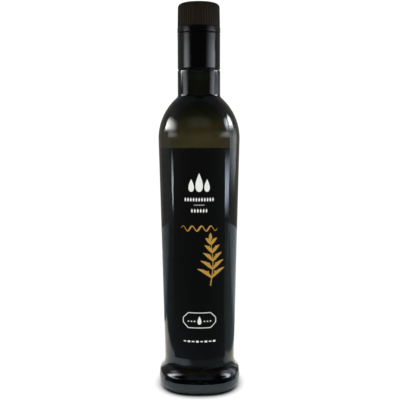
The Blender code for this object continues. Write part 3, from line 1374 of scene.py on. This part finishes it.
@dataclass
class Softbox:
    """A flat diffuser that glows towards the bottle and fades at its four edges.

    Each fade is the share of the diffuser's full width or height over which the
    light falls to nothing, at the edge nearer the camera, the far edge, the
    lower and the upper one. It faces the bottle's axis at aim_height, or at its
    own height where that isn't given, and tilt lifts its nearer edge, in degrees.
    """

    name: str
    place: tuple[float, float, float]
    size: tuple[float, float]
    radiance: float
    colour: str
    fades: tuple[float, float, float, float]
    aim_height: float | None = None
    tilt: float = 0.0

    def make_diffuser(self) -> bpy.types.Material:
        """Builds the glow: radiance times a smooth rise from each edge, in the panel's -1 to 1.

        Returns:
            The diffuser, which adds its glow to what is seen through it.
        """
        material, tree, output = new_material(f"{self.name}_diffuser")
        place = add_node(tree, "ShaderNodeTexCoord")
        axes = add_node(tree, "ShaderNodeSeparateXYZ", {"Vector": place.outputs["Object"]})
        near, far, low, high = self.fades
        right, left = (near, far) if self.place[0] < 0 else (far, near)
        glow = None
        for axis, edge, fade in (("X", -1, left), ("X", 1, right), ("Y", -1, low), ("Y", 1, high)):
            rise = add_node(tree, "ShaderNodeMapRange", interpolation_type="SMOOTHSTEP", inputs={
                "Value": axes.outputs[axis], "From Min": edge, "From Max": edge * (1 - 2 * fade),
                "To Max": self.radiance if glow is None else 1.0,
            })
            if glow is None:
                glow = rise.outputs["Result"]
            else:
                glow = add_node(tree, "ShaderNodeMath", operation="MULTIPLY", inputs={
                    0: glow, 1: rise.outputs["Result"],
                }).outputs["Value"]
        light = add_node(tree, "ShaderNodeEmission", {"Color": linear(self.colour), "Strength": glow})
        clear = add_node(tree, "ShaderNodeBsdfTransparent")
        both = add_node(tree, "ShaderNodeAddShader", {0: light.outputs["Emission"], 1: clear.outputs["BSDF"]})
        tree.links.new(both.outputs["Shader"], output.inputs["Surface"])
        return material

    def build(self, flagged: list[bpy.types.Object], reach: Reach) -> None:
        """Builds the panel, upright and turned to its aim.

        Args:
            flagged: Pieces that flags set apart for this light.
            reach: Whether it lights all but them, or only them.
        """
        mesh = bpy.data.meshes.new(self.name)
        mesh.from_pydata([(-1, -1, 0), (1, -1, 0), (1, 1, 0), (-1, 1, 0)], [], [(0, 1, 2, 3)])
        mesh.materials.append(self.make_diffuser())
        panel = bpy.data.objects.new(self.name, mesh)
        bpy.context.scene.collection.objects.link(panel)
        x, y, z = self.place
        over = 0.0 if self.aim_height is None else z - self.aim_height
        upright = math.pi / 2 - math.atan2(over, math.hypot(x, y))
        facing = Euler((upright, 0.0, math.atan2(y, x) + math.pi / 2)).to_matrix()
        roll = math.radians(self.tilt) * (1 if x < 0 else -1)
        panel.location = self.place
        panel.rotation_euler = (facing @ Matrix.Rotation(roll, 3, "Z")).to_euler()
        panel.scale = (self.size[0] / 2, self.size[1] / 2, 1.0)
        panel.visible_camera = False
        panel.visible_transmission = False
        panel.visible_shadow = False
        receivers = bpy.data.collections.new(f"{self.name}_flagged")
        for piece in flagged:
            receivers.objects.link(piece)
        for entry in receivers.collection_objects:
            entry.light_linking.link_state = reach.value
        panel.light_linking.receiver_collection = receivers
        log.info("%s: radiance %.1f", self.name, self.radiance)


@dataclass
class Surroundings:
    """The room round the bottle, which differs by what looks at it.

    The eye sees plain white. What is seen through glass is a white wall, darker
    at low and high slopes of the way. What gloss meets is a dark studio with a
    pale back: tones holds the depth of a way, from -1 towards the camera to 1
    behind the bottle, with a light and its tint. A range is the two slopes
    between which a light changes.
    """

    tones: tuple[tuple[float, float, str], ...] = (
        (-1.0, 0.025, "ffffff"), (-0.5, 0.03, "dfeff5"), (-0.1, 0.12, "dfeff5"),
        (0.08, 0.28, "dfeff5"), (0.50, 0.24, "e6f0f2"), (0.57, 0.18, "fffaf0"),
        (0.64, 0.20, "fffaf0"), (0.71, 0.20, "fffaf0"), (1.0, 0.24, "fffaf0"),
    )
    low_share: float = 0.75
    low_range: tuple[float, float] = (-0.30, 0.0)
    ceiling_share: float = 0.5
    ceiling_range: tuple[float, float] = (0.50, 0.80)
    wall: float = 0.9
    wall_low: float = 0.2
    wall_low_range: tuple[float, float] = (-0.45, -0.03)
    wall_high_share: float = 0.02
    wall_high_range: tuple[float, float] = (0.12, 0.26)

    def build(self) -> None:
        """Builds the world: a way's tone, times one smooth share for low and one for high slopes."""
        world = bpy.data.worlds.new("white_room")
        bpy.context.scene.world = world
        world.use_nodes = True
        tree = world.node_tree
        tree.nodes.clear()
        output = add_node(tree, "ShaderNodeOutputWorld")
        place = add_node(tree, "ShaderNodeTexCoord")
        axes = add_node(tree, "ShaderNodeSeparateXYZ", {"Vector": place.outputs["Generated"]})
        share = add_node(tree, "ShaderNodeMapRange", {"Value": axes.outputs["Y"], "From Min": -1.0})
        ramp = add_node(tree, "ShaderNodeValToRGB", {"Fac": share.outputs["Result"]})
        stops = ramp.color_ramp.elements
        while len(stops) < len(self.tones):
            stops.new(0.5)
        for stop, (depth, light, tint) in zip(stops, self.tones):
            stop.position = (depth + 1) / 2
            stop.color = (*(light * part for part in linear(tint)[:3]), 1.0)
        low = add_node(tree, "ShaderNodeMapRange", interpolation_type="SMOOTHSTEP", inputs={
            "Value": axes.outputs["Z"], "From Min": self.low_range[0], "From Max": self.low_range[1],
            "To Min": self.low_share,
        })
        high = add_node(tree, "ShaderNodeMapRange", interpolation_type="SMOOTHSTEP", inputs={
            "Value": axes.outputs["Z"], "From Min": self.ceiling_range[0], "From Max": self.ceiling_range[1],
            "To Min": 1.0, "To Max": self.ceiling_share,
        })
        level = add_node(tree, "ShaderNodeMath", operation="MULTIPLY", inputs={
            0: low.outputs["Result"], 1: high.outputs["Result"],
        })
        gloss = add_node(tree, "ShaderNodeVectorMath", operation="SCALE", inputs={
            0: ramp.outputs["Color"], "Scale": level.outputs["Value"],
        })
        lower = add_node(tree, "ShaderNodeMapRange", {
            "Value": axes.outputs["Z"], "From Min": self.wall_low_range[0],
            "From Max": self.wall_low_range[1], "To Min": self.wall_low, "To Max": self.wall,
        })
        upper = add_node(tree, "ShaderNodeMapRange", interpolation_type="SMOOTHSTEP", inputs={
            "Value": axes.outputs["Z"], "From Min": self.wall_high_range[0],
            "From Max": self.wall_high_range[1], "To Min": 1.0, "To Max": self.wall_high_share,
        })
        through = add_node(tree, "ShaderNodeMath", operation="MULTIPLY", inputs={
            0: lower.outputs["Result"], 1: upper.outputs["Result"],
        })
        path = add_node(tree, "ShaderNodeLightPath")
        met = add_node(tree, "ShaderNodeMix", data_type="RGBA", inputs={
            "Factor": path.outputs["Is Transmission Ray"], "A": gloss.outputs["Vector"],
            "B": through.outputs["Value"],
        })
        colour = add_node(tree, "ShaderNodeMix", data_type="RGBA", inputs={
            "Factor": path.outputs["Is Camera Ray"], "A": met.outputs["Result"],
            "B": (SEEN_WHITE, SEEN_WHITE, SEEN_WHITE, 1.0),
        })
        light = add_node(tree, "ShaderNodeBackground", {"Color": colour.outputs["Result"], "Strength": 1.0})
        tree.links.new(light.outputs["Background"], output.inputs["Surface"])


@dataclass
class Floor:
    """A round pale board under the bottle that glows instead of being lit, and differs by what looks at it.

    The eye sees it white, with a painted shade only close round the foot, darker
    where the bottle is near. Gloss meets a painted patch of light, cool in front
    and warm behind, amid painted dimmer light that differs near the bottle, in
    front, at both sides and behind. What is seen through glass brightens with
    the distance. A range is the two places, along X, along Y or out from the
    middle, between which a light changes.
    """

    radius: float = 0.80
    rings: tuple[float, ...] = (0.05, 0.10)
    steps: int = 96
    near: float = 0.22
    front: float = 0.04
    front_range: tuple[float, float] = (0.11, 0.15)
    left: float = 0.17
    left_range: tuple[float, float] = (-0.12, -0.02)
    right: float = 0.30
    right_range: tuple[float, float] = (0.02, 0.12)
    back_gain: float = 2.6
    back_range: tuple[float, float] = (0.10, 0.22)
    through: float = 0.05
    through_far: float = 0.42
    through_from: float = 0.30
    patch_half: tuple[float, float] = (0.109, 0.122)
    patch_middle: tuple[float, float] = (-0.0260, 0.0477)
    patch_turn: float = math.radians(22)
    patch_corner: float = 0.2
    patch_fade: float = 0.08
    patch_light: float = 1.15
    patch_rim: float = 1.1
    patch_front: str = "dff3fb"
    patch_back: str = "fffcf5"
    patch_back_range: tuple[float, float] = (-0.03, 0.03)
    shade_reach: float = 0.012
    shade_range: tuple[float, float] = (0.15, 0.85)
    shade_samples: int = 16

    def make_board(self) -> bpy.types.Material:
        """Builds the white studio board's glow, with its painted patch of light and painted shade.

        The patch is where the larger of |x| / a and |y| / b, rounded off where
        they meet, is below 1 in the patch's own turned axes.

        Returns:
            The board.
        """
        material, tree, output = new_material("white_studio_board")
        place = add_node(tree, "ShaderNodeTexCoord")
        patch = add_node(tree, "ShaderNodeMapping", vector_type="TEXTURE", inputs={
            "Vector": place.outputs["Object"], "Location": (*self.patch_middle, 0.0),
            "Rotation": (0.0, 0.0, self.patch_turn), "Scale": (*self.patch_half, 1.0),
        })
        out = add_node(tree, "ShaderNodeVectorMath", operation="ABSOLUTE", inputs={
            0: patch.outputs["Vector"],
        })
        sides = add_node(tree, "ShaderNodeSeparateXYZ", {"Vector": out.outputs["Vector"]})
        away = add_node(tree, "ShaderNodeMath", operation="SMOOTH_MAX", inputs={
            0: sides.outputs["X"], 1: sides.outputs["Y"], 2: self.patch_corner,
        })
        axes = add_node(tree, "ShaderNodeSeparateXYZ", {"Vector": place.outputs["Object"]})
        distance = add_node(tree, "ShaderNodeVectorMath", operation="LENGTH", inputs={
            0: place.outputs["Object"],
        })
        # Painted dimmer light on the board, seen by gloss: near the bottle, in front, at the sides and
        # behind.
        front = add_node(tree, "ShaderNodeMapRange", interpolation_type="SMOOTHSTEP", inputs={
            "Value": distance.outputs["Value"], "From Min": self.front_range[0],
            "From Max": self.front_range[1], "To Min": self.near, "To Max": self.front,
        })
        left = add_node(tree, "ShaderNodeMapRange", interpolation_type="SMOOTHSTEP", inputs={
            "Value": axes.outputs["X"], "From Min": self.left_range[0], "From Max": self.left_range[1],
            "To Min": self.left, "To Max": front.outputs["Result"],
        })
        right = add_node(tree, "ShaderNodeMapRange", interpolation_type="SMOOTHSTEP", inputs={
            "Value": axes.outputs["X"], "From Min": self.right_range[0], "From Max": self.right_range[1],
            "To Min": left.outputs["Result"], "To Max": self.right,
        })
        gain = add_node(tree, "ShaderNodeMapRange", interpolation_type="SMOOTHSTEP", inputs={
            "Value": axes.outputs["Y"], "From Min": self.back_range[0], "From Max": self.back_range[1],
            "To Min": 1.0, "To Max": self.back_gain,
        })
        room = add_node(tree, "ShaderNodeMath", operation="MULTIPLY", inputs={
            0: right.outputs["Result"], 1: gain.outputs["Result"],
        })
        # Painted patch of light on the board, seen by gloss.
        lit = add_node(tree, "ShaderNodeMapRange", interpolation_type="SMOOTHSTEP", inputs={
            "Value": away.outputs["Value"], "From Min": 1 - self.patch_fade, "From Max": 1 + self.patch_fade,
            "To Min": self.patch_light, "To Max": room.outputs["Value"],
        })
        through = add_node(tree, "ShaderNodeMapRange", {
            "Value": distance.outputs["Value"], "From Min": self.through_from, "From Max": self.radius,
            "To Min": self.through, "To Max": self.through_far,
        })
        path = add_node(tree, "ShaderNodeLightPath")
        met = add_node(tree, "ShaderNodeMix", data_type="FLOAT", inputs={
            "Factor": path.outputs["Is Transmission Ray"], "A": lit.outputs["Result"],
            "B": through.outputs["Result"],
        })
        level = add_node(tree, "ShaderNodeMix", data_type="FLOAT", inputs={
            "Factor": path.outputs["Is Camera Ray"], "A": met.outputs["Result"], "B": SEEN_WHITE,
        })
        # Painted shade: the board's glow darkens where the bottle is close by.
        close = add_node(tree, "ShaderNodeAmbientOcclusion", samples=self.shade_samples, inputs={
            "Distance": self.shade_reach,
        })
        shade = add_node(tree, "ShaderNodeMapRange", interpolation_type="SMOOTHSTEP", inputs={
            "Value": close.outputs["AO"], "From Min": self.shade_range[0], "From Max": self.shade_range[1],
        })
        strength = add_node(tree, "ShaderNodeMath", operation="MULTIPLY", inputs={
            0: level.outputs["Result"], 1: shade.outputs["Result"],
        })
        depth = add_node(tree, "ShaderNodeMapRange", interpolation_type="SMOOTHSTEP", inputs={
            "Value": axes.outputs["Y"], "From Min": self.patch_back_range[0],
            "From Max": self.patch_back_range[1],
        })
        inside = add_node(tree, "ShaderNodeMapRange", inputs={
            "Value": away.outputs["Value"], "From Min": 1.0, "From Max": self.patch_rim,
            "To Min": 1.0, "To Max": 0.0,
        })
        warm = add_node(tree, "ShaderNodeMath", operation="MULTIPLY", inputs={
            0: depth.outputs["Result"], 1: inside.outputs["Result"],
        })
        # Tint of the painted patch of light: cool in front, warm behind.
        tint = add_node(tree, "ShaderNodeMix", data_type="RGBA", inputs={
            "Factor": warm.outputs["Value"], "A": linear(self.patch_front), "B": linear(self.patch_back),
        })
        colour = add_node(tree, "ShaderNodeMix", data_type="RGBA", inputs={
            "Factor": path.outputs["Is Camera Ray"], "A": tint.outputs["Result"], "B": WHITE,
        })
        light = add_node(tree, "ShaderNodeEmission", {
            "Color": colour.outputs["Result"], "Strength": strength.outputs["Value"],
        })
        tree.links.new(light.outputs["Emission"], output.inputs["Surface"])
        return material

    def build(self) -> None:
        """Builds the board from flat rings r (cos(a), sin(a)). Its edge melts into the white."""
        angle = even_angles(self.steps)
        radius = np.array([*self.rings, self.radius])[:, None]
        points = np.stack([
            radius * np.cos(angle), radius * np.sin(angle), np.zeros((len(radius), self.steps)),
        ], axis=-1)
        shape = Shape()
        index = shape.add_points(points)
        index = np.concatenate([index, index[:, :1]], axis=1)
        shape.add_quads(index[1:], index[:-1])
        tip = np.full(self.steps, shape.add_points(np.zeros(3)))
        shape.triangles.append(np.stack([index[0][:-1], index[0][1:], tip], axis=1))
        mesh = shape.make_mesh("pale_floor")
        mesh.materials.append(self.make_board())
        floor = bpy.data.objects.new("pale_floor", mesh)
        bpy.context.scene.collection.objects.link(floor)


@dataclass
class Camera:
    """The camera at the photograph's viewing angle, looking slightly down."""

    place: tuple[float, float, float] = (0.00075, -0.512, 0.2072)
    pitch: float = math.radians(6.24)
    roll: float = math.radians(0.13)
    lens: float = 57.6
    sensor: float = 36.0

    def build(self) -> None:
        """Builds the camera and makes it the scene's."""
        data = bpy.data.cameras.new("camera")
        data.lens = self.lens
        data.sensor_width = self.sensor
        camera = bpy.data.objects.new("camera", data)
        camera.location = self.place
        camera.rotation_euler = (math.pi / 2 - self.pitch, self.roll, 0.0)
        bpy.context.scene.collection.objects.link(camera)
        bpy.context.scene.camera = camera


@dataclass
class FrontFill:
    """A large soft light over the camera that only lights matt surfaces."""

    place: tuple[float, float, float] = (0.0, -0.9, 0.75)
    aim_height: float = 0.12
    size: tuple[float, float] = (0.9, 0.5)
    radiance: float = 9.0

    def build(self) -> None:
        """Builds the light, whose power is pi times its radiance and its area."""
        lamp = bpy.data.lights.new("front_fill", "AREA")
        lamp.shape = "RECTANGLE"
        lamp.size, lamp.size_y = self.size
        lamp.energy = self.radiance * math.pi * self.size[0] * self.size[1]
        fill = bpy.data.objects.new("front_fill", lamp)
        bpy.context.scene.collection.objects.link(fill)
        fill.location = self.place
        rise = math.atan2(self.place[2] - self.aim_height, -self.place[1])
        fill.rotation_euler = (math.pi / 2 - rise, 0.0, 0.0)
        fill.visible_camera = False
        fill.visible_glossy = False
        fill.visible_transmission = False


@dataclass
class Studio:
    """The whole studio with its lights.

    Flags keep the lamps off the closure. The panels light the closure alone,
    and the low cards light the glass alone.
    """

    surroundings: Surroundings = field(default_factory=Surroundings)
    floor: Floor = field(default_factory=Floor)
    camera: Camera = field(default_factory=Camera)
    fill: FrontFill = field(default_factory=FrontFill)
    lamps: tuple[Softbox, ...] = (
        Softbox(
            "lamp_left", (-0.50, -0.01, 0.40), (0.51, 0.24), 15.0, "fbfaf7",
            fades=(0.85, 0.1, 0.34, 0.66), tilt=3,
        ),
        Softbox(
            "lamp_right", (0.493, 0.08, 0.40), (0.40, 0.24), 17.0, "f0f6ff",
            fades=(0.55, 0.2, 0.5, 0.42),
        ),
        Softbox(
            "strip_right", (0.573, 0.209, 0.215), (0.52, 0.29), 1.6, "f0f6ff",
            fades=(0.6, 0.25, 0.3, 0.5),
        ),
        Softbox(
            "glow_left", (-0.602, -0.150, 0.275), (0.50, 0.17), 2.4, "f6f8fc",
            fades=(0.65, 0.2, 0.5, 0.5),
        ),
        Softbox(
            "glow_right", (0.599, -0.160, 0.275), (0.50, 0.17), 3.0, "eef5ff",
            fades=(0.7, 0.3, 0.5, 0.5),
        ),
        Softbox(
            "glow_front", (0.0, -0.42, 0.50), (0.80, 0.30), 0.22, "cfe9fa",
            fades=(0.3, 0.3, 0.3, 0.3), aim_height=0.2,
        ),
    )
    panels: tuple[Softbox, ...] = (
        Softbox(
            "panel_left", (-0.575, -0.232, 0.27), (0.54, 0.22), 4.0, "f6f8fc",
            fades=(0.5, 0.3, 0.5, 0.15),
        ),
        Softbox(
            "panel_right", (0.572, -0.240, 0.27), (0.78, 0.22), 5.2, "eef5ff",
            fades=(0.85, 0.15, 0.5, 0.15),
        ),
    )
    cards: tuple[Softbox, ...] = (
        Softbox(
            "card_left", (-0.172, -0.102, 0.145), (0.17, 0.075), 7.5, "e2ecf6",
            fades=(0.8, 0.1, 0.4, 0.5),
        ),
        Softbox(
            "card_right", (0.188, -0.068, 0.145), (0.13, 0.075), 7.5, "d6e6fb",
            fades=(0.7, 0.15, 0.4, 0.5),
        ),
    )

    def build(self, bottle: bpy.types.Object, closure: list[bpy.types.Object]) -> None:
        """Builds the whole studio.

        Args:
            bottle: The glass bottle, which alone the cards light.
            closure: The closure's pieces, which the panels alone light.
        """
        bpy.context.scene.view_settings.view_transform = "Standard"
        self.surroundings.build()
        self.floor.build()
        self.camera.build()
        self.fill.build()
        for lamp in self.lamps:
            lamp.build(closure, Reach.ALL_BUT)
        for panel in self.panels:
            panel.build(closure, Reach.ONLY)
        for card in self.cards:
            card.build([bottle], Reach.ONLY)


def main() -> None:
    """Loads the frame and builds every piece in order."""
    logging.basicConfig(level=logging.INFO, format="%(message)s")
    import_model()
    bottle = Glass().build(BottleGlass().make())
    Oil().build(OliveOil().make())
    closure = Closure()
    lacquer = SLEEVE_LACQUER.make()
    sleeve = closure.build_sleeve(lacquer)
    cap = closure.build_cap(KNURL_LACQUER.make(), lacquer)
    paper = LABEL_PAPER.make()
    front = Label("front_label_paper", "front_label", FRONT)
    front.build_paper(paper)
    FrontPrint(front).build(WHITE_INK.make(), GOLD_INK.make())
    Label("back_label_paper", "back_label", BACK).build_paper(paper)
    Studio().build(bottle, [sleeve, cap])


if __name__ == "__main__":
    main()
